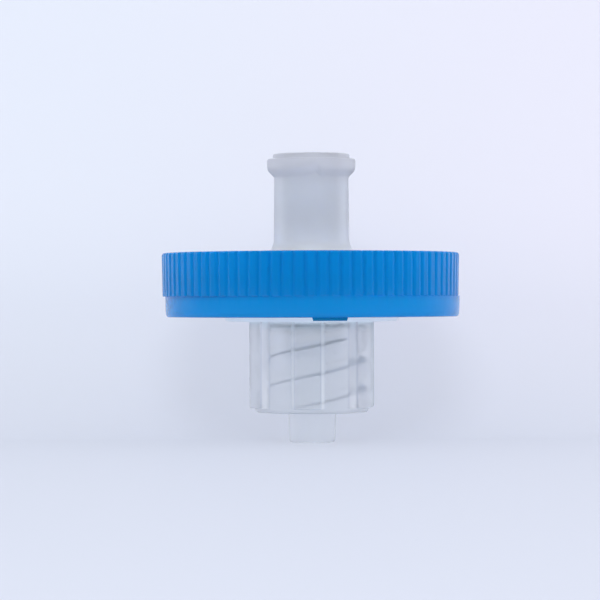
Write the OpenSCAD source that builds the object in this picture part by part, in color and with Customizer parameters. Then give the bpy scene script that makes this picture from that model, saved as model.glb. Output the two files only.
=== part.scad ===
// Disc syringe filter with luer fittings, standing on its outlet tip.
// The origin is the centre of the tip's end face, and +Z runs up the flow axis towards the inlet.
// Lengths are in millimetres, and angles are in degrees, anticlockwise from +X seen from above.

/* [Luer fittings] */
// Growth in diameter for each millimetre along a luer cone
luer_taper = 0.06; // [0.05:0.005:0.08]
// Distance between neighbouring turns of the locking thread
thread_pitch = 2.5; // [2.3:0.05:2.7]
// Diameter of the flow passage through both fittings
passage_d = 2.0; // [1.2:0.1:2.4]

/* [Outlet tip] */
// Outer diameter of the tip at its end face
tip_end_d = 3.98; // [3.8:0.01:4.2]
// How far the tip stands out of the locking collar
tip_reach = 2.65; // [2.1:0.05:4]
// Rounding round the tip's end face
tip_edge_r = 0.3; // [0.1:0.05:0.5]

/* [Locking collar] */
// Length of the collar
collar_h = 7.95; // [7:0.05:12]
// Thickness of the collar's wall between its ribs
collar_wall = 0.95; // [0.7:0.05:1.4]
// Rounding round the collar's open end
collar_edge_r = 0.35; // [0.1:0.05:0.6]
// Chamfer inside the collar's open end
collar_chamfer = 0.2; // [0.1:0.05:0.4]
// How far the space inside the collar ends short of the collar's top
collar_floor_t = 0.35; // [0.1:0.05:1]
// Diameter of the collar's inside wall, at the foot of the thread
thread_root_d = 8.0; // [7.8:0.05:8.4]
// Height of the thread ridge over the wall
thread_h = 0.5; // [0.35:0.05:0.6]
// Width of the thread ridge at its foot
thread_root_w = 1.05; // [0.8:0.05:1.3]
// Width of the thread ridge at its crest
thread_crest_w = 0.45; // [0.3:0.05:0.7]
// Turn of the first thread start from the front
thread_turn = -33.5; // [-90:0.5:90]
// Number of grip ribs round the collar
rib_count = 6; // [4:1:8]
// Height of a grip rib over the collar's wall
rib_h = 0.72; // [0.4:0.02:1]
// Width of a grip rib at its top
rib_top_w = 2.25; // [1.6:0.05:2.6]
// Width of a grip rib at its foot
rib_foot_w = 3.0; // [2.6:0.05:3.2]
// How far the ribs stop short of the collar's open end
rib_setback = 0.42; // [0.2:0.02:1]
// Turn of the first grip rib from the front
rib_turn = -4.3; // [-30:0.1:30]

/* [Filter disc] */
// Thickness of the outlet housing's flange
outlet_flange_t = 1.9; // [1.7:0.05:2.5]
// Thickness of the inlet housing's flange
inlet_flange_t = 1.9; // [1.7:0.05:2.5]
// Depth of the open chambers on both sides of the membrane
chamber_depth = 0.6; // [0.4:0.05:0.8]
// Diameter of the step that the outlet disc stands on, at its foot
step_d = 14.8; // [14:0.1:18]
// Height that the step stands out of the ring
step_h = 0.4; // [0.2:0.05:0.8]
// Diameter of the funnel that drains the outlet chamber
funnel_d = 5.6; // [4:0.1:6.4]
// Depth of that funnel
funnel_depth = 1.4; // [0.8:0.1:1.6]

/* [Membrane] */
// Width of the land where the two flanges meet outside the membrane's seat
land_w = 0.7; // [0.4:0.05:1]
// Width of the membrane's rim that the two housings clamp
clamp_w = 0.8; // [0.5:0.05:1.4]
// Thickness of the membrane
membrane_t = 0.2; // [0.1:0.05:0.3]
// Radial gap round the membrane in its seat
membrane_gap = 0.1; // [0.05:0.05:0.3]

/* [Flow ribs] */
// Number of support rings under the membrane
support_count = 7; // [4:1:8]
// Width of a support ring
support_w = 0.4; // [0.3:0.05:0.6]
// Number of drain channels across the support rings
channel_count = 8; // [4:2:12]
// Width of a drain channel
channel_w = 0.8; // [0.5:0.1:1.2]
// Number of spreader ribs over the membrane
spreader_count = 12; // [6:1:18]
// Width of a spreader rib
spreader_w = 0.5; // [0.3:0.05:0.8]
// Gap between the spreader ribs and the membrane
spreader_gap = 0.1; // [0.05:0.05:0.2]

/* [Inlet hub] */
// Height of the hub above the ring
hub_h = 8.65; // [8:0.05:12]
// How far the hub's side leans out from its lugs to its foot
hub_draft = 0.06; // [0.02:0.01:0.3]
// Radius of the fillet between the hub and the disc
hub_fillet_r = 1.6; // [0.6:0.1:2.2]
// Diameter of the socket at its mouth
socket_d = 4.3; // [4.2:0.01:4.4]
// Depth of the socket
socket_depth = 7.9; // [7.5:0.1:8.2]
// Chamfer round the mouth of the socket
mouth_chamfer = 0.2; // [0.1:0.05:0.4]

/* [Lugs] */
// Diameter across the locking lugs
lug_d = 7.74; // [7.6:0.02:7.9]
// Reach of the locking lugs out of the hub
lug_reach = 0.62; // [0.5:0.01:0.8]
// Height of the locking lugs
lug_h = 1.62; // [1.4:0.02:2]
// Height of the plain rim above the lugs
rim_h = 0.42; // [0.3:0.02:0.8]
// Reach of the plain rim out of the hub
rim_reach = 0.1; // [0.05:0.01:0.25]
// Chamfer round the top of the plain rim
rim_chamfer = 0.1; // [0.05:0.01:0.2]
// Chamfer along the crest of the lugs
lug_chamfer = 0.16; // [0.08:0.02:0.24]
// Turn of the first lug's blunt end from the front
lug_turn = 15.4; // [-90:0.2:90]
// Angle over which a lug's underside climbs to the next lug
lug_climb = 32; // [20:1:60]

/* [Ring] */
// Outer diameter of the ring at the top of its knurl
ring_d = 26.08; // [25.8:0.02:27]
// Thickness of the ring's wall round the flanges
ring_wall = 1.02; // [0.8:0.02:1.4]
// How far the plain band's foot stands back from the top of the knurl
band_inset = 0.18; // [0.05:0.01:0.25]
// Height of the plain band
band_h = 1.82; // [1.2:0.02:2.6]
// Outward lean of the ring's side over each mould half
side_draft = 0.07; // [0.01:0.01:0.15]
// Thickness of the lips that grip the flanges
lip_t = 0.9; // [0.75:0.05:1.4]
// Reach of the lips over the flanges
lip_reach = 1.52; // [1:0.02:2]
// Chamfer along the edges of the lips
lip_chamfer = 0.18; // [0.1:0.02:0.3]
// How far the inlet disc lies under the ring's top
inlet_recess = 0.4; // [0.2:0.05:0.6]
// How far the outlet disc lies inside the ring's foot
outlet_recess = 0.6; // [0.2:0.05:0.7]
// Radius of the edge round the ring's top
top_edge_r = 0.24; // [0.22:0.02:0.4]
// Radius of the edge round the ring's foot
foot_edge_r = 0.5; // [0.2:0.02:0.8]
// Radial gap between the ring and the two housings
ring_gap = 0.02; // [0.01:0.01:0.05]
// Number of grooves in the knurl
groove_count = 82; // [60:1:90]
// Width of a knurl groove at the surface
groove_w = 0.46; // [0.3:0.02:0.5]
// Depth of a knurl groove
groove_depth = 0.16; // [0.1:0.01:0.2]
// Turn of the first groove from the front
groove_turn = 2.2; // [0:0.1:4.4]
// How far the band's shoulder falls towards its edge
shoulder_fall = 0.08; // [0.04:0.01:0.2]
// Sideways shift of the mould half that forms the knurl
knurl_shift = -0.12; // [-0.2:0.01:0.2]
// Sideways shift of the mould half that forms the band
band_shift = 0.05; // [-0.2:0.01:0.2]

/* [Gate mark] */
// Width of the gate mark under the ring
gate_w = 2.8; // [1.5:0.1:4]
// Length of the gate mark towards the axis
gate_l = 1.3; // [0.8:0.1:1.8]
// Height of the gate mark
gate_h = 0.28; // [0.1:0.02:0.5]
// Turn of the gate mark from the front
gate_turn = 6.6; // [-30:0.2:30]

/* [Hidden] */
$fn = 128;

// Both luer locks have two thread starts.
thread_starts = 2;
thread_lead = thread_pitch * thread_starts;
// Angle over which a thread ridge grows out of the wall.
thread_fade = 30;
// Largest angle between two sections of a thread ridge.
thread_step = 8;
// Overlap that welds one shape of a moulding to the next.
weld = 0.1;
// Allowance by which a cut passes the faces it opens.
pass = 1;
// Straight steps in a rounded edge, and in the larger fillet at the hub's foot.
edge_steps = 4;
fillet_steps = 8;
// The front faces -Y, and turns are counted from it.
front = -90;

// Heights along the flow axis, from the tip's end face upwards.
collar_z = tip_reach;
step_z = collar_z + collar_h;
ring_z = step_z + step_h;
knurl_z = ring_z + band_h;
outlet_flange_z = ring_z + lip_t;
joint_z = outlet_flange_z + outlet_flange_t;
inlet_flange_top_z = joint_z + inlet_flange_t;
ring_top_z = inlet_flange_top_z + lip_t;
rim_z = ring_top_z + hub_h;

collar_floor_z = step_z - collar_floor_t;
outlet_disc_z = ring_z + outlet_recess;
floor_z = joint_z - chamber_depth;
seat_z = joint_z + membrane_t;
ceiling_z = seat_z + chamber_depth;
inlet_disc_top_z = ring_top_z - inlet_recess;
lug_top_z = rim_z - rim_h;
lug_z = lug_top_z - lug_h;
socket_floor_z = rim_z - socket_depth;

// Radii from the ring inwards. Both flanges fit the pocket behind the lips, and both discs lie
// between the lips.
pocket_r = ring_d / 2 - ring_wall;
flange_r = pocket_r - ring_gap;
lip_bore_r = pocket_r - lip_reach;
disc_r = lip_bore_r - ring_gap;
seat_r = flange_r - land_w;
membrane_r = seat_r - membrane_gap;
chamber_r = membrane_r - clamp_w;

// Radii of the collar and of the hub.
collar_r = thread_root_d / 2 + collar_wall;
rib_r = collar_r + rib_h;
hub_r = lug_d / 2 - lug_reach;

// Points of an arc round [r, z], from one angle to another.
function arc(r, z, radius, from, to, steps = edge_steps) = [
    for (i = [0 : steps])
        let (a = from + (to - from) * i / steps)
            [r + radius * cos(a), z + radius * sin(a)]
];

// The point of a section [r, z] that stands at angle a round the axis.
function turned(p, a) = [p[0] * cos(a), p[0] * sin(a), p[1]];

// A solid that runs through sections, as a closed loop or with a cap at each end.
// Sections have equal counts of points, which run clockwise for someone who looks along the loft.
module loft(sections, closed = false) {
    n = len(sections[0]);
    last = len(sections) - (closed ? 1 : 2);
    sides = [
        for (i = [0 : last], j = [0 : n - 1])
            let (a = i * n, b = (i + 1) % len(sections) * n, k = (j + 1) % n)
                each [[a + j, b + j, b + k], [a + j, b + k, a + k]]
    ];
    caps = closed ? [] : [
        [for (j = [0 : n - 1]) j],
        [for (j = [n - 1 : -1 : 0]) (len(sections) - 1) * n + j]
    ];
    polyhedron([for (s = sections) each s], concat(sides, caps));
}

/* The outlet housing */

// The male luer cone, rounded at its end.
module tip() {
    end_r = tip_end_d / 2;
    top_z = collar_floor_z + weld;
    rotate_extrude()
        polygon(concat(
            [[0, 0]],
            arc(end_r - tip_edge_r, tip_edge_r, tip_edge_r, -90, 0),
            [[end_r + luer_taper * top_z / 2, top_z], [0, top_z]]
        ));
}

// Collar wall, step, disc and flange, as one turned shape.
module outlet_shell() {
    wall_r = thread_root_d / 2;
    mouth_r = wall_r + collar_chamfer;
    step_r = step_d / 2;
    // The step flares outwards, at 45 degrees, over the height that shows under the ring.
    flare_r = step_r + step_h;
    rotate_extrude()
        polygon(concat(
            [
                [0, collar_floor_z],
                [wall_r, collar_floor_z],
                [wall_r, collar_z + collar_chamfer],
                [mouth_r, collar_z]
            ],
            arc(collar_r - collar_edge_r, collar_z + collar_edge_r, collar_edge_r, -90, 0),
            [
                [collar_r, step_z],
                [step_r, step_z],
                [flare_r, ring_z],
                [flare_r, outlet_disc_z],
                [disc_r, outlet_disc_z],
                [disc_r, outlet_flange_z],
                [flange_r, outlet_flange_z],
                [flange_r, joint_z],
                [0, joint_z]
            ]
        ));
}

// The grip ribs round the collar, with sloping flanks and round tops. Their feet lie inside its wall.
module collar_ribs() {
    half_foot = rib_foot_w / 2;
    half_top = rib_top_w / 2;
    root_r = sqrt(pow(collar_r, 2) - pow(half_foot, 2)) - weld;
    height = collar_h - rib_setback + weld;
    translate([0, 0, collar_z + rib_setback])
        intersection() {
            cylinder(r = rib_r, h = height);
            for (i = [0 : rib_count - 1])
                rotate(front + rib_turn + i * 360 / rib_count)
                    linear_extrude(height)
                        polygon([
                            [root_r, -half_foot],
                            [rib_r, -half_top],
                            [rib_r + pass, -half_top],
                            [rib_r + pass, half_top],
                            [rib_r, half_top],
                            [root_r, half_foot]
                        ]);
        }
}

// One ridge of the collar's inside thread, right handed, which grows out of the wall at each end.
module thread_ridge(turn) {
    wall_r = thread_root_d / 2;
    half_root = thread_root_w / 2;
    half_crest = thread_crest_w / 2;
    first_z = collar_z + collar_chamfer + half_root;
    last_z = collar_floor_z - half_root - weld;
    sweep = (last_z - first_z) / thread_lead * 360;
    steps = ceil(sweep / thread_step);
    loft([
        for (i = [0 : steps])
            let (
                a = sweep * i / steps,
                z = first_z + thread_lead * a / 360,
                grown = min(1, a / thread_fade, (sweep - a) / thread_fade),
                crest_r = wall_r + weld / 2 - (thread_h + weld / 2) * grown
            )
                [
                    for (p = [
                        [wall_r + weld, z - half_root],
                        [crest_r, z - half_crest],
                        [crest_r, z + half_crest],
                        [wall_r + weld, z + half_root]
                    ])
                        turned(p, front + turn + a)
                ]
    ]);
}

// Rings under the membrane, cut by drain channels that lead to the funnel.
module support_rings() {
    funnel_r = funnel_d / 2;
    pitch = (chamber_r - funnel_r) / (support_count + 1);
    difference() {
        for (i = [1 : support_count])
            translate([0, 0, floor_z - weld])
                rotate_extrude()
                    translate([funnel_r + i * pitch - support_w / 2, 0])
                        square([support_w, chamber_depth + weld]);
        for (i = [0 : channel_count / 2 - 1])
            rotate(i * 360 / channel_count)
                translate([-chamber_r, -channel_w / 2, floor_z])
                    cube([2 * chamber_r, channel_w, chamber_depth + pass]);
    }
}

module outlet_housing() {
    passage_r = passage_d / 2;
    color([0.82, 0.87, 0.94, 0.6]) {
        difference() {
            union() {
                tip();
                outlet_shell();
                collar_ribs();
                for (i = [0 : thread_starts - 1])
                    thread_ridge(thread_turn + i * 360 / thread_starts);
            }
            translate([0, 0, floor_z])
                cylinder(r = chamber_r, h = chamber_depth + pass);
            translate([0, 0, floor_z - funnel_depth])
                cylinder(r1 = passage_r, d2 = funnel_d, h = funnel_depth);
            translate([0, 0, -pass])
                cylinder(r = passage_r, h = floor_z + 2 * pass);
        }
        support_rings();
    }
}

/* The membrane */

module membrane() {
    color([0.97, 0.97, 0.98])
        translate([0, 0, joint_z])
            cylinder(r = membrane_r, h = membrane_t);
}

/* The inlet housing */

// Flange, disc and hub, as one turned shape.
module inlet_shell() {
    foot_r = hub_r + hub_draft;
    rim_r = hub_r + rim_reach;
    fillet_z = inlet_disc_top_z + hub_fillet_r;
    // The rim starts inside the lugs.
    under_rim_z = lug_top_z - lug_h / 2;
    rotate_extrude()
        polygon(concat(
            [
                [0, joint_z],
                [flange_r, joint_z],
                [flange_r, inlet_flange_top_z],
                [disc_r, inlet_flange_top_z],
                [disc_r, inlet_disc_top_z]
            ],
            arc(foot_r + hub_fillet_r, fillet_z, hub_fillet_r, -90, -180, fillet_steps),
            [
                [hub_r, under_rim_z],
                [rim_r, under_rim_z],
                [rim_r, rim_z - rim_chamfer],
                [rim_r - rim_chamfer, rim_z],
                [0, rim_z]
            ]
        ));
}

// Section of the lugs where their underside stands at height z.
function lug_section(z) =
    let (
        root_r = hub_r - weld,
        crest_r = lug_d / 2
    )
        [
            [root_r, lug_top_z],
            [crest_r - lug_chamfer, lug_top_z],
            [crest_r, lug_top_z - lug_chamfer],
            [crest_r, z + lug_reach + lug_chamfer],
            [crest_r - lug_chamfer / 2, z + lug_reach - lug_chamfer / 2],
            [root_r, z - weld]
        ];

// The two locking lugs. Each starts blunt, runs level, then climbs with the thread's lead to the next one.
module lugs() {
    span = 360 / thread_starts;
    step_angle = 2;
    level = span - lug_climb;
    level_steps = 12;
    climb_steps = 4;
    turns = concat(
        [for (i = [0 : level_steps]) level * i / level_steps],
        [for (i = [1 : climb_steps]) level + (lug_climb - step_angle) * i / climb_steps]
    );
    loft([
        for (i = [0 : thread_starts - 1], t = turns)
            [
                for (p = lug_section(lug_z + thread_lead * max(0, t - level) / 360))
                    turned(p, front + lug_turn + i * span + t)
            ]
    ], closed = true);
}

// Ribs that spread the flow from the passage over the membrane.
module spreader_ribs() {
    // The ribs start one passage radius away from the passage.
    inner_r = passage_d;
    base_z = seat_z + spreader_gap;
    for (i = [0 : spreader_count - 1])
        rotate(i * 360 / spreader_count)
            translate([inner_r, -spreader_w / 2, base_z])
                cube([chamber_r + weld - inner_r, spreader_w, ceiling_z + weld - base_z]);
}

module inlet_housing() {
    mouth_r = socket_d / 2;
    floor_r = mouth_r - luer_taper * socket_depth / 2;
    color([0.87, 0.88, 0.93, 0.9]) {
        difference() {
            union() {
                inlet_shell();
                lugs();
            }
            translate([0, 0, joint_z - pass])
                cylinder(r = seat_r, h = pass + membrane_t);
            translate([0, 0, joint_z])
                cylinder(r = chamber_r, h = ceiling_z - joint_z);
            translate([0, 0, joint_z])
                cylinder(d = passage_d, h = socket_floor_z - joint_z + weld);
            translate([0, 0, socket_floor_z])
                cylinder(r1 = floor_r, r2 = mouth_r, h = socket_depth);
            translate([0, 0, rim_z - mouth_chamfer])
                cylinder(r1 = mouth_r, r2 = mouth_r + mouth_chamfer + pass, h = mouth_chamfer + pass);
        }
        spreader_ribs();
    }
}

/* The ring */

// The upper mould half, with the knurl round it.
module knurl_half() {
    top_r = ring_d / 2;
    foot_r = top_r - side_draft;
    flare = groove_w / 2 * (groove_depth + pass) / groove_depth;
    difference() {
        rotate_extrude()
            polygon(concat(
                [[0, knurl_z], [foot_r, knurl_z]],
                arc(top_r - top_edge_r, ring_top_z - top_edge_r, top_edge_r, 0, 90),
                [[0, ring_top_z]]
            ));
        for (i = [0 : groove_count - 1])
            rotate(front + groove_turn + i * 360 / groove_count)
                translate([0, 0, knurl_z - pass])
                    linear_extrude(ring_top_z - knurl_z + 2 * pass)
                        polygon([[top_r - groove_depth, 0], [top_r + pass, -flare], [top_r + pass, flare]]);
    }
}

// The lower mould half, with its plain band and the gate mark under it.
// Its shoulder slopes from between the pocket and the foot of the grooves, so either half may stand proud.
module band_half() {
    foot_r = ring_d / 2 - band_inset;
    shoulder_r = (pocket_r + ring_d / 2 - groove_depth) / 2;
    rotate_extrude()
        polygon(concat(
            [[0, ring_z]],
            arc(foot_r - foot_edge_r, ring_z + foot_edge_r, foot_edge_r, -90, 0),
            [
                [foot_r + side_draft, knurl_z - shoulder_fall],
                [shoulder_r, knurl_z],
                [0, knurl_z]
            ]
        ));
    rotate(front + gate_turn)
        translate([foot_r - foot_edge_r - gate_l, -gate_w / 2, ring_z - gate_h])
            cube([gate_l, gate_w, gate_h + weld]);
}

// The space that the two housings fill: an opening in each lip and a pocket for the flanges.
module ring_inside() {
    flared_r = lip_bore_r + lip_chamfer + pass;
    rotate_extrude()
        polygon([
            [0, ring_z - pass],
            [flared_r, ring_z - pass],
            [lip_bore_r, ring_z + lip_chamfer],
            [lip_bore_r, outlet_flange_z],
            [pocket_r, outlet_flange_z],
            [pocket_r, inlet_flange_top_z],
            [lip_bore_r, inlet_flange_top_z],
            [lip_bore_r, ring_top_z - lip_chamfer],
            [flared_r, ring_top_z + pass],
            [0, ring_top_z + pass]
        ]);
}

module seal_ring() {
    color([0.05, 0.5, 0.85])
        difference() {
            union() {
                translate([band_shift, 0, 0])
                    band_half();
                translate([knurl_shift, 0, 0])
                    knurl_half();
            }
            ring_inside();
        }
}

inlet_housing();
membrane();
outlet_housing();
seal_ring();
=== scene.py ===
import math

import bmesh
import bpy
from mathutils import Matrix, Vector


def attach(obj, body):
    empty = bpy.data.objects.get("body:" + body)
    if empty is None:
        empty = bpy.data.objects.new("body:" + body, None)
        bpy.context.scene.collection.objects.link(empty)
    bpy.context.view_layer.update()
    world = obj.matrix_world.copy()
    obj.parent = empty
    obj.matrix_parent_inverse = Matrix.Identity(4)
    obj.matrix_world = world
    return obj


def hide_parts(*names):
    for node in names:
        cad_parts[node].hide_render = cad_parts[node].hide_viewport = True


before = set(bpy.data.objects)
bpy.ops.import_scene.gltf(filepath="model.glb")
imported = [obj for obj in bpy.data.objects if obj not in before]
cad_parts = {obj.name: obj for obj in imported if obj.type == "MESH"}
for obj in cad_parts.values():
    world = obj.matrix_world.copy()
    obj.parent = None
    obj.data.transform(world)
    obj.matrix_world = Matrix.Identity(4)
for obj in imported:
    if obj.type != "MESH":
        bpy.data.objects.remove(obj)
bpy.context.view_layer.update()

MM = 0.001
# The camera looks along +Y, so the part's front lies at this angle.
FRONT = -90.0

# Sizes of the part in millimetres, as in the CAD model.
COLLAR_Z, STEP_Z, RING_Z = 2.65, 10.6, 11.0
KNURL_Z, RING_TOP_Z = 12.82, 16.6
OUTLET_FLANGE_Z, JOINT_Z, INLET_FLANGE_TOP_Z = 11.9, 13.8, 15.7
OUTLET_DISC_Z, FLOOR_Z, SEAT_Z, CEILING_Z = 11.6, 13.2, 14.0, 14.6
INLET_DISC_Z, SOCKET_FLOOR_Z, RIM_Z = 16.2, 17.35, 25.25
LUG_TOP_Z, LUG_Z = 24.83, 23.21
COLLAR_FLOOR_Z = 10.25
PASSAGE_R, FUNNEL_R, CHAMBER_R, SEAT_R = 1.0, 2.8, 10.4, 11.3
FLANGE_R, DISC_R, LIP_BORE_R, POCKET_R = 12.0, 10.48, 10.5, 12.02
# What a luer cone's radius gains in each millimetre of its length, and the chamfer of both luer mouths.
TAPER, MOUTH_CHAMFER = 0.03, 0.2
# How far the luer lock's two-start thread climbs in one turn.
LEAD = 5.0

# A softened corner has one point more than this, and takes at most this share of the sides beside it.
CORNER_STEPS, SIDE_SHARE = 3, 0.45
# Edges turned by more than this, in degrees, stay sharp in the shading.
SHARP = 32.0


# --- outlines and meshes ---------------------------------------------------------------------------------


def unit(x, y):
    size = math.hypot(x, y) or 1.0
    return x / size, y / size


def polar(radius, angle):
    turn = math.radians(angle)
    return radius * math.cos(turn), radius * math.sin(turn)


def eased(t):
    """0 to 1 as t goes from 0 to 1, with a level start and end."""
    return t * t * (3 - 2 * t)


def steps_of(start, count):
    return [start + 360.0 * i / count for i in range(count)]


def rounded(corners):
    """The closed outline of corners (x, y, size): each is softened over its size, or stays a point at 0."""
    points = []
    for i, (x, y, size) in enumerate(corners):
        if not size:
            points.append((x, y))
            continue
        ax, ay = corners[i - 1][:2]
        bx, by = corners[(i + 1) % len(corners)][:2]
        before = min(size, SIDE_SHARE * math.hypot(ax - x, ay - y))
        after = min(size, SIDE_SHARE * math.hypot(bx - x, by - y))
        ux, uy = unit(ax - x, ay - y)
        vx, vy = unit(bx - x, by - y)
        for k in range(CORNER_STEPS + 1):
            t = k / CORNER_STEPS
            p, q, r = (1 - t) ** 2, 2 * t * (1 - t), t * t
            points.append((
                p * (x + ux * before) + q * x + r * (x + vx * after),
                p * (y + uy * before) + q * y + r * (y + vy * after),
            ))
    return points


def turned_mesh(name, angles, profile, wrap=None, shift=None):
    """A closed body whose outline at each angle, in degrees, is profile(angle), a list of (r, z).

    All outlines have as many rows. wrap says which row of the first outline follows each row of the last
    one, and shift how far each row lies to the side.
    """
    columns = [profile(a) for a in angles]
    rows = len(columns[0])
    wrap = wrap or list(range(rows))
    shift = shift or [0.0] * rows
    index, points, grid = {}, [], []
    for angle, column in zip(angles, columns):
        line = []
        for (r, z), sideways in zip(column, shift):
            x, y = polar(r, angle)
            key = (round(x + sideways, 5), round(y, 5), round(z, 5))
            if key not in index:
                index[key] = len(points)
                points.append([v * MM for v in key])
            line.append(index[key])
        grid.append(line)
    grid.append([grid[0][row] for row in wrap])
    faces = []
    for near, far in zip(grid, grid[1:]):
        for j in range(rows):
            k = (j + 1) % rows
            # Points that fall together count once, so that a face has no empty edge.
            face = list(dict.fromkeys((near[j], far[j], far[k], near[k])))
            if len(face) > 2:
                faces.append(face)
    return finished_mesh(name, points, faces)


def finished_mesh(name, points, faces):
    mesh = bpy.data.meshes.new(name)
    mesh.from_pydata(points, [], faces)
    mesh.validate()
    mesh.update()
    bm = bmesh.new()
    bm.from_mesh(mesh)
    bmesh.ops.recalc_face_normals(bm, faces=bm.faces)
    if bm.calc_volume(signed=True) < 0:
        bmesh.ops.reverse_faces(bm, faces=bm.faces)
    open_edges = 0
    for edge in bm.edges:
        if len(edge.link_faces) != 2:
            open_edges += 1
        else:
            edge.smooth = edge.calc_face_angle(0.0) < math.radians(SHARP)
    for face in bm.faces:
        face.smooth = True
    print(name, "vertices", len(bm.verts), "faces", len(bm.faces), "open edges", open_edges,
          "volume mm3", round(bm.calc_volume() / MM**3, 1))
    bm.to_mesh(mesh)
    bm.free()
    obj = bpy.data.objects.new(name, mesh)
    bpy.context.scene.collection.objects.link(obj)
    normals = obj.modifiers.new("even_shading", "WEIGHTED_NORMAL")
    normals.keep_sharp = True
    return obj


# --- inlet housing ---------------------------------------------------------------------------------------

HUB_R, HUB_FOOT_R, LUG_R, RIM_R, SOCKET_R = 3.25, 3.31, 3.87, 3.35, 2.15
FILLET_R, FILLET_STEPS = 1.6, 10
# In each half turn the lug's underside climbs over the last LUG_CLIMB degrees, but falls back at its end,
# over LUG_END.
LUG_START, LUG_CLIMB, LUG_END, LUG_END_STEPS = FRONT + 15.4, 32.0, 9.0, 12
HUB_COLUMNS = 240


def lug_underside(angle):
    """The height of the lugs' underside at an angle."""
    remaining = 180.0 - (angle - LUG_START) % 180.0
    climb = max(0.0, LUG_CLIMB - remaining)
    if remaining < LUG_END:
        climb = (LUG_CLIMB - LUG_END) * eased(remaining / LUG_END)
    return LUG_Z + LEAD * climb / 360.0


def inlet_profile(angle):
    under = lug_underside(angle)
    fillet = []
    for k in range(FILLET_STEPS + 1):
        x, y = polar(FILLET_R, 90.0 - 90.0 * k / FILLET_STEPS)
        fillet.append((HUB_FOOT_R + FILLET_R - x, INLET_DISC_Z + FILLET_R - y, 0.0))
    return rounded([
        (PASSAGE_R, CEILING_Z, 0.0),
        (CHAMBER_R, CEILING_Z, 0.0),
        (CHAMBER_R, SEAT_Z, 0.0),
        (SEAT_R, SEAT_Z, 0.0),
        (SEAT_R, JOINT_Z, 0.0),
        (FLANGE_R, JOINT_Z, 0.05),
        (FLANGE_R, INLET_FLANGE_TOP_Z, 0.1),
        (DISC_R, INLET_FLANGE_TOP_Z, 0.0),
        (DISC_R, INLET_DISC_Z, 0.15),
        *fillet,
        (HUB_R, under, 0.14),
        (LUG_R, under + LUG_R - HUB_R, 0.3),
        (LUG_R, LUG_TOP_Z, 0.2),
        (RIM_R, LUG_TOP_Z, 0.05),
        (RIM_R, RIM_Z, 0.14),
        (SOCKET_R + MOUTH_CHAMFER, RIM_Z, 0.06),
        (SOCKET_R, RIM_Z - MOUTH_CHAMFER, 0.06),
        (SOCKET_R - TAPER * (RIM_Z - SOCKET_FLOOR_Z), SOCKET_FLOOR_Z, 0.1),
        (PASSAGE_R, SOCKET_FLOOR_Z, 0.1),
    ])


lug_ends = {LUG_START + 180 * k - LUG_END * d / LUG_END_STEPS for k in (1, 2) for d in range(LUG_END_STEPS)}
hub_angles = sorted(set(steps_of(LUG_START, HUB_COLUMNS)) | lug_ends)
inlet = turned_mesh("inlet_hub", hub_angles, inlet_profile)

# --- outlet housing --------------------------------------------------------------------------------------

COLLAR_R, RIB_R, WALL_R, TIP_END_R = 4.95, 5.67, 4.0, 1.99
STEP_R, STEP_FOOT_R, FUNNEL_H = 7.8, 7.4, 1.4
# The ribs are RIB_TOP wide at their flat top and RIB_FOOT at the collar's wall. They start above its open
# end, and RIB_EDGE softens their corners.
RIB_TOP, RIB_FOOT, RIB_COUNT, RIB_TURN, RIB_EDGE = 2.25, 3.0, 6, FRONT - 4.3, 0.16
RIB_START_Z = COLLAR_Z + 0.42
RIB_STEPS, WALL_STEPS = 10, 12
# The two thread ridges grow and fade over FADE degrees between the collar's mouth and its floor.
THREAD_H, HALF_ROOT, HALF_CREST, FADE = 0.5, 0.525, 0.225, 30.0
THREAD_START = FRONT - 33.5
THREAD_FIRST_Z = COLLAR_Z + MOUTH_CHAMFER + HALF_ROOT
THREAD_LAST_Z = COLLAR_FLOOR_Z - HALF_ROOT - 0.1
THREAD_SWEEP = (THREAD_LAST_Z - THREAD_FIRST_Z) / LEAD * 360.0
# Each half turn of a ridge that one outline can cross, counted from the outline's own.
SLOTS = range(-2, 4)
# A ridge's flank as (share of its width, share of its height), and the whole ridge from -1 to 1 across.
FLANK = [(0.0, 0.0), (0.1, 0.028), (0.25, 0.156), (0.5, 0.5), (0.75, 0.844), (0.9, 0.972), (1.0, 1.0)]
SLOPE = 1 - HALF_CREST / HALF_ROOT
RIDGE = [(t * SLOPE - 1, h) for t, h in FLANK] + [(1 - t * SLOPE, h) for t, h in reversed(FLANK)]
SUPPORT_COUNT, SUPPORT_W, CHANNELS, CHANNEL_W = 7, 0.4, 8, 0.8


def flank_foot():
    """Where a rib's flank comes out of the collar's wall. The flank itself starts just inside the wall."""
    x, y = math.sqrt(COLLAR_R**2 - (RIB_FOOT / 2)**2) - 0.1, RIB_FOOT / 2
    dx, dy = RIB_R - x, RIB_TOP / 2 - y
    a, b, c = dx * dx + dy * dy, x * dx + y * dy, x * x + y * y - COLLAR_R**2
    t = (math.sqrt(b * b - a * c) - b) / a
    return x + dx * t, y + dy * t


def collar_outline():
    """{angle: radius} once round the outside of the collar and its ribs."""
    pitch = 360.0 / RIB_COUNT
    top_end = math.degrees(math.asin(RIB_TOP / 2 / RIB_R))
    foot_x, foot_y = flank_foot()
    foot = math.degrees(math.atan2(foot_y, foot_x))
    top = [top_end * (2 * k / RIB_STEPS - 1) for k in range(RIB_STEPS + 1)]
    wall = [foot + (pitch - 2 * foot) * k / WALL_STEPS for k in range(WALL_STEPS + 1)]
    corners = []
    for turn in steps_of(RIB_TURN, RIB_COUNT):
        for radius, run in ((RIB_R, top), (COLLAR_R, wall)):
            for angle in run:
                size = RIB_EDGE if angle in (run[0], run[-1]) else 0.0
                corners.append((*polar(radius, turn + angle), size))
    outline = rounded(corners)
    return {round(math.degrees(math.atan2(y, x)) % 360.0, 4): math.hypot(x, y) for x, y in outline}


OUTLINE = collar_outline()


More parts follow.
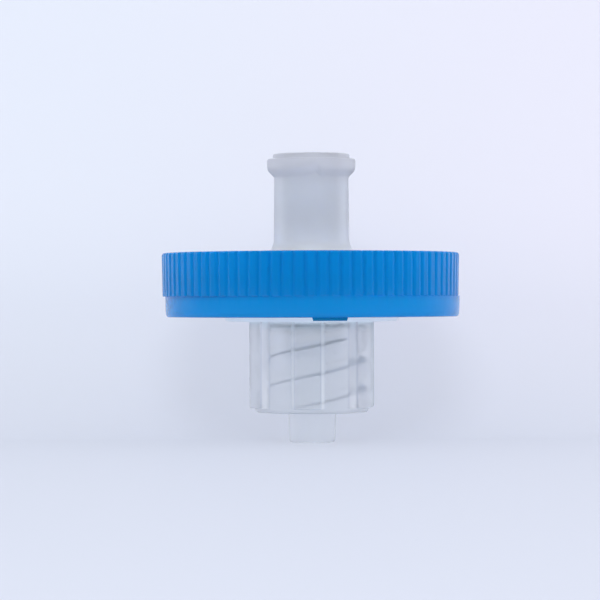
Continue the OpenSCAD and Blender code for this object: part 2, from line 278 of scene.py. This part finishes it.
def thread_points(angle):
    """The inside wall of the collar from its mouth to its floor, with the two thread ridges."""
    turned = (angle - THREAD_START) % 360.0
    low, high = COLLAR_Z + MOUTH_CHAMFER, COLLAR_FLOOR_Z
    points = []
    for slot in SLOTS:
        a = turned + 180.0 * slot
        grown = eased(max(0.0, min(1.0, a / FADE, (THREAD_SWEEP - a) / FADE)))
        centre = THREAD_FIRST_Z + LEAD * a / 360.0
        for along, height in RIDGE:
            # Past its ends, a ridge lies flat at the mouth or at the floor.
            if a < 0:
                z = low
            elif a > THREAD_SWEEP:
                z = high
            else:
                z = min(high, max(low, centre + along * HALF_ROOT))
            points.append((WALL_R - THREAD_H * height * grown, z))
    return points


def outlet_shell(angle):
    """The outline from the disc down the collar and the tip and up the passage, with a bare collar wall."""
    outer = OUTLINE[round(angle % 360.0, 4)]
    return rounded([
        (DISC_R, OUTLET_DISC_Z, 0.12),
        (STEP_R, OUTLET_DISC_Z, 0.05),
        (STEP_R, RING_Z, 0.05),
        (STEP_FOOT_R, STEP_Z, 0.1),
        (outer, STEP_Z, 0.12),
        (outer, RIB_START_Z, 0.14),
        (COLLAR_R, RIB_START_Z, 0.02),
        (COLLAR_R, COLLAR_Z, 0.35),
        (WALL_R + MOUTH_CHAMFER, COLLAR_Z, 0.05),
        (WALL_R, COLLAR_Z + MOUTH_CHAMFER, 0.0),
        (WALL_R, COLLAR_FLOOR_Z, 0.0),
        (TIP_END_R + TAPER * COLLAR_FLOOR_Z, COLLAR_FLOOR_Z, 0.2),
        (TIP_END_R + 0.01, 0.0, 0.3),
        (PASSAGE_R, 0.0, 0.08),
        (PASSAGE_R, FLOOR_Z - FUNNEL_H, 0.05),
        (FUNNEL_R, FLOOR_Z, 0.05),
    ])


def thread_row(shell):
    """The row after the mouth's inner edge, where the thread goes in."""
    return shell.index((WALL_R, COLLAR_Z + MOUTH_CHAMFER)) + 1


def support_points(angle):
    """The rings under the membrane, cut through by the drain channels."""
    pitch = (CHAMBER_R - FUNNEL_R) / (SUPPORT_COUNT + 1)
    spacing = 360.0 / CHANNELS
    off = (angle + spacing / 2) % spacing - spacing / 2
    points = []
    for i in range(1, SUPPORT_COUNT + 1):
        r = FUNNEL_R + i * pitch
        inner, outer = r - SUPPORT_W / 2, r + SUPPORT_W / 2
        top = FLOOR_Z if abs(polar(r, off)[1]) < CHANNEL_W / 2 else JOINT_Z
        points += [(inner, FLOOR_Z), (inner, top), (outer, top), (outer, FLOOR_Z)]
    return points


def outlet_profile(angle):
    shell = outlet_shell(angle)
    row = thread_row(shell)
    flange = [
        (CHAMBER_R, FLOOR_Z),
        (CHAMBER_R, JOINT_Z),
        (FLANGE_R, JOINT_Z),
        (FLANGE_R, OUTLET_FLANGE_Z),
        (DISC_R, OUTLET_FLANGE_Z),
    ]
    return shell[:row] + thread_points(angle) + shell[row:] + support_points(angle) + flange


def outlet_wrap(angle):
    """The thread's rows go on one full turn further up, where the outlines meet."""
    first = thread_row(outlet_shell(angle))
    turn = 2 * len(RIDGE)
    end = first + len(SLOTS) * len(RIDGE)
    wrap = []
    for row in range(len(outlet_profile(angle))):
        if first <= row < end - turn:
            wrap.append(row + turn)
        elif end - turn <= row < end:
            wrap.append(end)
        else:
            wrap.append(row)
    return wrap


collar_angles = sorted(OUTLINE, key=lambda a: (a - THREAD_START) % 360.0)
outlet = turned_mesh("outlet_luer", collar_angles, outlet_profile, outlet_wrap(collar_angles[0]))

# --- ring ------------------------------------------------------------------------------------------------

RING_R, KNURL_FOOT_R, BAND_R, BAND_TOP_R, LIP_CHAMFER = 13.04, 12.97, 12.86, 12.93, 0.18
GROOVES, GROOVE_TURN, GROOVE_W, GROOVE_DEPTH, GROOVE_COLUMNS = 82, FRONT + 2.2, 0.46, 0.16, 10
GATE_TURN, GATE_HALF, GATE_IN, GATE_OUT, GATE_H = FRONT + 6.6, 6.86, 11.06, 12.36, 0.28
# A groove's section is a cosine raised to a power and cut off just before its end. The lands between the
# grooves are dished by DISH, and at the knurls' foot the cut is FOOT_SHARE as deep.
COSINE_SHARE, COSINE_POWER, DISH, FOOT_SHARE = 0.98, 0.9, 0.024, 0.6
# The ledge between the band and the knurls, and how far the two mould halves lie to the side.
LEDGE_IN, LEDGE_H, KNURL_SHIFT, BAND_SHIFT = 0.025, 0.03, -0.12, 0.05


def knurl_cut(angle):
    """How far the knurled side lies in at an angle: a round groove, or a land that is slightly dished."""
    spacing = 360.0 / GROOVES
    off = abs((angle - GROOVE_TURN + spacing / 2) % spacing - spacing / 2) / spacing
    half = GROOVE_W / (2 * math.pi * RING_R / GROOVES) / 2
    if off < half:
        wave = 0.5 + 0.5 * math.cos(COSINE_SHARE * math.pi * off / half)
        return GROOVE_DEPTH * wave**COSINE_POWER + DISH
    return DISH * (1 - ((0.5 - off) / (0.5 - half))**2)


def ring_corners(angle):
    """The ring's section as corners (r, z, size, sideways)."""
    cut = knurl_cut(angle)
    gate_z = RING_Z - (GATE_H if abs((angle - GATE_TURN + 180) % 360 - 180) < GATE_HALF else 0.0)
    return [
        (LIP_BORE_R, RING_Z + LIP_CHAMFER, 0.03, 0.0),
        (LIP_BORE_R + LIP_CHAMFER, RING_Z, 0.03, 0.0),
        (GATE_IN, RING_Z, 0.0, BAND_SHIFT),
        (GATE_IN, gate_z, 0.04, BAND_SHIFT),
        (GATE_OUT, gate_z, 0.04, BAND_SHIFT),
        (GATE_OUT, RING_Z, 0.0, BAND_SHIFT),
        (BAND_R, RING_Z, 0.5, BAND_SHIFT),
        (BAND_TOP_R - LEDGE_IN, KNURL_Z - LEDGE_H, 0.06, BAND_SHIFT),
        (KNURL_FOOT_R - FOOT_SHARE * cut, KNURL_Z, 0.05, KNURL_SHIFT),
        (RING_R - cut, RING_TOP_Z, 0.26, KNURL_SHIFT),
        (LIP_BORE_R + LIP_CHAMFER, RING_TOP_Z, 0.05, 0.0),
        (LIP_BORE_R, RING_TOP_Z - LIP_CHAMFER, 0.03, 0.0),
        (LIP_BORE_R, INLET_FLANGE_TOP_Z, 0.0, 0.0),
        (POCKET_R, INLET_FLANGE_TOP_Z, 0.0, 0.0),
        (POCKET_R, OUTLET_FLANGE_Z, 0.0, 0.0),
        (LIP_BORE_R, OUTLET_FLANGE_Z, 0.0, 0.0),
    ]


def ring_profile(angle):
    return rounded([corner[:3] for corner in ring_corners(angle)])


ring_shift = []
for _, _, size, sideways in ring_corners(FRONT):
    ring_shift += [sideways] * (CORNER_STEPS + 1 if size else 1)
ring_angles = steps_of(GROOVE_TURN, GROOVES * GROOVE_COLUMNS)
ring = turned_mesh("seal_ring_knurled", ring_angles, ring_profile, shift=ring_shift)

# --- materials -------------------------------------------------------------------------------------------


class Graph:
    """Short ways of adding nodes to the tree of a material or of the world."""

    def __init__(self, tree):
        self.nodes, self.links = tree.nodes, tree.links

    def add(self, kind, inputs, **settings):
        """A node whose inputs, by name or number, are set to a value or linked to a socket."""
        node = self.nodes.new("ShaderNode" + kind)
        for name, value in settings.items():
            setattr(node, name, value)
        for name, value in inputs.items():
            self.feed(node.inputs[name], value)
        return node

    def feed(self, socket, value):
        if isinstance(value, bpy.types.NodeSocket):
            self.links.new(value, socket)
        elif socket.type == "RGBA":
            socket.default_value = (*value, 1.0)
        else:
            socket.default_value = value

    def remap(self, value, low, high, start=0.0, end=1.0, kind="LINEAR"):
        """From low to high as value goes from start to end."""
        sockets = {"Value": value, "From Min": start, "From Max": end, "To Min": low, "To Max": high}
        return self.add("MapRange", sockets, interpolation_type=kind).outputs["Result"]

    def blend(self, value, first, second):
        """From first to second as value goes from 0 to 1; each is a colour, a number or a socket."""
        kind = "RGBA" if tuple in (type(first), type(second)) else "FLOAT"
        node = self.add("Mix", {}, data_type=kind)
        for name, part in (("Factor", value), ("A", first), ("B", second)):
            self.feed(node.inputs[name], part)
        return node.outputs["Result"]

    def maths(self, operation, first, second):
        return self.add("Math", {0: first, 1: second}, operation=operation).outputs["Value"]

    def either(self, first, *others):
        """1 where any of the switches is 1."""
        for other in others:
            first = self.maths("MAXIMUM", first, other)
        return first

    def mix_shaders(self, share, first, second):
        return self.add("MixShader", {0: share, 1: first, 2: second}).outputs["Shader"]


class Paint(Graph):
    """One material, painted by height and distance from the flow axis."""

    def __init__(self, name):
        self.material = bpy.data.materials.new(name)
        self.material.use_nodes = True
        super().__init__(self.material.node_tree)
        self.shader = self.nodes["Principled BSDF"]
        self.place = self.add("TexCoord", {}).outputs["Object"]

    def set(self, **values):
        for name, value in values.items():
            self.shader.inputs[name.replace("_", " ")].default_value = value

    def link(self, value, name):
        self.links.new(value, self.shader.inputs[name])

    def noise(self, scale, detail=2.0):
        sockets = {"Vector": self.place, "Scale": scale, "Detail": detail}
        return self.add("TexNoise", sockets).outputs["Fac"]

    def spread(self, value, low, high):
        """A noise's useful middle range, spread from low to high."""
        return self.remap(value, low, high, 0.3, 0.7)

    def across(self, axis, low, high):
        """0 to 1 along an axis, smoothly, from low to high in millimetres."""
        along = self.add("SeparateXYZ", {"Vector": self.place}).outputs[axis]
        return self.remap(along, 0.0, 1.0, low * MM, high * MM, "SMOOTHSTEP")

    def radius(self):
        """The distance from the flow axis."""
        flat = self.add("Mapping", {"Vector": self.place, "Scale": (1, 1, 0)}).outputs["Vector"]
        return self.add("VectorMath", {0: flat}, operation="LENGTH").outputs["Value"]

    def between(self, value, start, full, fall, end):
        """1 where value lies from full to fall, in millimetres, and 0 below start and above end."""
        rise = self.remap(value, 0.0, 1.0, start * MM, full * MM)
        return self.maths("MULTIPLY", rise, self.remap(value, 1.0, 0.0, fall * MM, end * MM))

    def bump(self, value, strength, distance):
        sockets = {"Strength": strength, "Distance": distance * MM, "Height": value}
        self.link(self.add("Bump", sockets).outputs["Normal"], "Normal")


def frosted():
    p = Paint("frosted_plastic")
    p.set(IOR=1.3, Specular_IOR_Level=0.4, Subsurface_Weight=0.5, Subsurface_Scale=0.003,
          Subsurface_Radius=(1.0, 1.0, 1.1))
    foot = p.across("Z", INLET_DISC_Z + 3.8, INLET_DISC_Z + 0.2)
    lug = p.across("Z", LUG_Z - 1.01, LUG_Z + 0.09)
    top = p.across("Z", LUG_TOP_Z - 1.43, LUG_TOP_Z - 0.53)
    body = p.blend(p.spread(p.noise(220), 0.0, 1.0), (0.74, 0.767, 0.806), (0.78, 0.807, 0.857))
    # The thick foot scatters more light than the hub's wall, and is painted paler, as painted light from the
    # disc below it; the lugs and the top are painted a little darker.
    body = p.blend(foot, body, (0.82, 0.858, 0.945))
    body = p.blend(lug, body, (0.73, 0.75, 0.79))
    p.link(p.blend(top, body, (0.745, 0.755, 0.795)), "Base Color")
    p.link(p.remap(foot, 0.66, 0.4), "Transmission Weight")
    p.link(p.spread(p.noise(2500), 0.28, 0.36), "Roughness")
    p.bump(p.noise(420), 0.2, 0.04)
    return p.material


def clear():
    p = Paint("clear_plastic")
    p.set(IOR=1.2, Specular_IOR_Level=0.3, Coat_Weight=0.03, Coat_Roughness=0.1, Coat_IOR=1.5)
    r = p.radius()
    # The collar and the tip are clear but for the ribs' flanks, and the disc above them is milky.
    flank = p.between(r, COLLAR_R + 0.1, COLLAR_R + 0.3, RIB_R - 0.22, RIB_R - 0.13)
    milky = p.across("Z", STEP_Z - 0.3, STEP_Z)
    p.link(p.blend(milky, p.remap(flank, 1.0, 0.56), 0.04), "Transmission Weight")
    # The top of the collar and the disc are painted cyan, as painted light from the blue ring.
    disc = p.across("Z", STEP_Z - 0.9, STEP_Z - 0.1)
    body = p.blend(disc, (0.99, 0.999, 1.0), (0.90, 0.97, 1.0))
    # The ribs' feet and edges are painted darker, as painted shade.
    rib_foot_shade = p.between(r, COLLAR_R + 0.01, COLLAR_R + 0.03, COLLAR_R + 0.1, COLLAR_R + 0.13)
    rib_edge_shade = p.between(r, RIB_R - 0.17, RIB_R - 0.13, RIB_R - 0.04, RIB_R - 0.01)
    body = p.blend(rib_foot_shade, body, (0.88, 0.905, 0.935))
    p.link(p.blend(rib_edge_shade, body, (0.80, 0.83, 0.87)), "Base Color")
    # The outside is polished, and the cores that formed the thread and the tip left them dull.
    wall = p.remap(r, 0.62, 0.34, (WALL_R + 0.2) * MM, (WALL_R + 0.8) * MM)
    outside = p.remap(r, 0.0, 1.0, (RIB_R - 0.37) * MM, (RIB_R - 0.07) * MM)
    p.link(p.blend(outside, wall, 0.28), "Roughness")
    p.bump(p.noise(300), 0.05, 0.03)
    return p.material


def blue():
    p = Paint("blue_plastic")
    p.shader.subsurface_method = "BURLEY"
    p.set(IOR=1.45, Specular_IOR_Level=0.29, Subsurface_Weight=1.0, Subsurface_Scale=0.00008,
          Subsurface_Radius=(0.4, 1.0, 1.6))
    body = p.blend(p.spread(p.noise(160), 0.0, 1.0), (0.0017, 0.180, 0.505), (0.0019, 0.193, 0.53))
    # The knurls are painted a little darker towards their foot, as painted shade, the band below them is
    # painted brighter, as painted light shining through it, and the foot face is darker.
    knurl_foot_shade = p.across("Z", KNURL_Z + 3.0, KNURL_Z + 1.2)
    band = p.across("Z", KNURL_Z + 0.1, KNURL_Z - 0.6)
    gate = p.across("Z", RING_Z, RING_Z - 0.1)
    body = p.blend(knurl_foot_shade, body, (0.0019, 0.177, 0.488))
    body = p.blend(band, body, (0.0, 0.212, 0.555))
    p.link(p.blend(gate, body, (0.0, 0.20, 0.40)), "Base Color")
    knurls = p.spread(p.noise(1500), 0.14, 0.18)
    p.link(p.blend(p.across("Z", KNURL_Z + 0.1, KNURL_Z - 0.1), knurls, 0.18), "Roughness")
    p.bump(p.noise(350), 0.08, 0.03)
    return p.material


def film():
    p = Paint("membrane_film")
    p.set(Roughness=0.85)
    grain = p.spread(p.noise(1500, 3.0), 0.0, 1.0)
    p.link(p.blend(grain, (0.84, 0.84, 0.86), (0.9, 0.9, 0.92)), "Base Color")
    p.bump(p.noise(9000, 3.0), 0.3, 0.02)
    return p.material


for obj, node, slot, material in (
    (inlet, "inlet_housing", "frosted_plastic", frosted()),
    (outlet, "outlet_housing", "clear_plastic", clear()),
    (ring, "seal_ring", "blue_plastic", blue()),
):
    obj.data.materials.append(material)
    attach(obj, "root")
    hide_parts(node)

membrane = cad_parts["membrane"]
membrane.data.materials.clear()
membrane.data.materials.append(film())

# --- stage -----------------------------------------------------------------------------------------------

NEAR_Y, BACK_Y, SWEEP_R, HALF_WIDTH, TOP_Z = -125.0, 15.0, 12.0, 180.0, 420.0
# Of what the camera, a reflection or the clear plastic sees of the stage, this share is its own colour.
# The rest is its lit surface, which holds the shadow.
OWN_SHARE = 0.7


def backdrop():
    """The floor and a wall close behind the object, joined by a quarter round."""
    # The points at -60, -20 and 40 keep the flat stretches flat in the smooth shading.
    line = [(NEAR_Y, 0.0), (-60.0, 0.0), (-20.0, 0.0)]
    for angle in range(-90, 1, 5):
        y, z = polar(SWEEP_R, angle)
        line.append((BACK_Y - SWEEP_R + y, SWEEP_R + z))
    line += [(BACK_Y, 40.0), (BACK_Y, TOP_Z)]
    points = [(x * MM, y * MM, z * MM) for y, z in line for x in (-HALF_WIDTH, HALF_WIDTH)]
    faces = [(2 * i, 2 * i + 1, 2 * i + 3, 2 * i + 2) for i in range(len(line) - 1)]
    mesh = bpy.data.meshes.new("backdrop")
    mesh.from_pydata(points, [], faces)
    mesh.update()
    for polygon in mesh.polygons:
        polygon.use_smooth = True
    obj = bpy.data.objects.new("backdrop", mesh)
    bpy.context.scene.collection.objects.link(obj)
    return obj


def backdrop_material():
    p = Paint("backdrop")
    p.set(Roughness=0.5, Specular_IOR_Level=0.4)
    # The floor is painted darker than the wall, as painted shade towards the bottom, and the wall is a
    # little bluer on the left than on the right.
    wall = p.blend(p.across("X", -30, 30), (0.80, 0.845, 0.955), (0.83, 0.835, 0.955))
    colour = p.blend(p.across("Z", -8, 24), (0.645, 0.685, 0.795), wall)
    p.link(colour, "Base Color")
    own = p.add("Emission", {"Color": colour}).outputs["Emission"]
    path = p.add("LightPath", {}).outputs
    seen = p.either(path["Is Camera Ray"], path["Is Glossy Ray"], path["Is Transmission Ray"])
    front = p.mix_shaders(p.maths("MULTIPLY", seen, OWN_SHARE), p.shader.outputs["BSDF"], own)
    # From behind, the stage doesn't show.
    backfacing = p.add("NewGeometry", {}).outputs["Backfacing"]
    nothing = p.add("BsdfTransparent", {}).outputs["BSDF"]
    p.feed(p.nodes["Material Output"].inputs["Surface"], p.mix_shaders(backfacing, front, nothing))
    return p.material


stage = backdrop()
stage.data.materials.append(backdrop_material())

# --- light -----------------------------------------------------------------------------------------------

# The world's strength as (start, end, in front, behind), where start and end are the Y of a ray's direction.
SOFT_LIGHT = (-0.85, -0.35, 0.4, 1.1)
REFLECTED = (-0.35, 0.6, 0.03, 1.0)


def light_world():
    """Pale light from all round, weaker in front. Reflections see it almost dark in front of the object."""
    world = bpy.data.worlds.new("studio")
    bpy.context.scene.world = world
    world.use_nodes = True
    g = Graph(world.node_tree)
    path = g.add("LightPath", {}).outputs
    generated = g.add("TexCoord", {}).outputs["Generated"]
    toward = g.add("SeparateXYZ", {"Vector": generated}).outputs["Y"]

    def strength(start, end, front, behind):
        return g.remap(toward, front, behind, start, end, "SMOOTHSTEP")

    light = g.nodes["Background"]
    g.feed(light.inputs["Color"], (0.95, 0.97, 1.0))
    level = g.blend(path["Is Glossy Ray"], strength(*SOFT_LIGHT), strength(*REFLECTED))
    g.feed(light.inputs["Strength"], level)
    # Seen straight or through the plastic, the world is as pale as the wall.
    through = path["Is Transmission Ray"]
    pale = g.add("Background", {"Color": g.blend(through, (0.80, 0.82, 0.93), (0.86, 0.92, 1.07))})
    shown = g.mix_shaders(g.either(path["Is Camera Ray"], through), light.outputs[0], pale.outputs[0])
    g.feed(g.nodes["World Output"].inputs["Surface"], shown)


def lamp(name, place, size, watts, shows_through=False):
    """A round lamp aimed at the object, hidden from reflections and, as a rule, behind clear plastic."""
    light = bpy.data.lights.new(name, "AREA")
    light.shape = "DISK"
    light.size = size * MM
    light.energy = watts
    obj = bpy.data.objects.new(name, light)
    bpy.context.scene.collection.objects.link(obj)
    place, aim = Vector(place) * MM, Vector((0, 0, 12)) * MM
    obj.location = place
    obj.rotation_mode = "QUATERNION"
    obj.rotation_quaternion = (aim - place).to_track_quat("-Z", "Y")
    obj.visible_glossy = False
    obj.visible_transmission = shows_through


light_world()
lamp("key", (-10, -240, 175), 110, 0.32, shows_through=True)
lamp("right", (230, -40, 60), 160, 0.16)
lamp("left", (-230, -40, 60), 160, 0.1)

# --- camera ----------------------------------------------------------------------------------------------

EYE = (-1.04, -230.0, 12.47)
LENS, SENSOR, ROLL = 157.3, 36.0, 0.2

camera_data = bpy.data.cameras.new("camera")
camera_data.sensor_width = SENSOR
camera_data.lens = LENS
camera_data.clip_start, camera_data.clip_end = 0.01, 5.0
camera = bpy.data.objects.new("camera", camera_data)
camera.location = Vector(EYE) * MM
camera.rotation_euler = (math.radians(90.0), math.radians(ROLL), 0.0)
bpy.context.scene.collection.objects.link(camera)
bpy.context.scene.camera = camera
bpy.context.scene.view_settings.view_transform = "Standard"
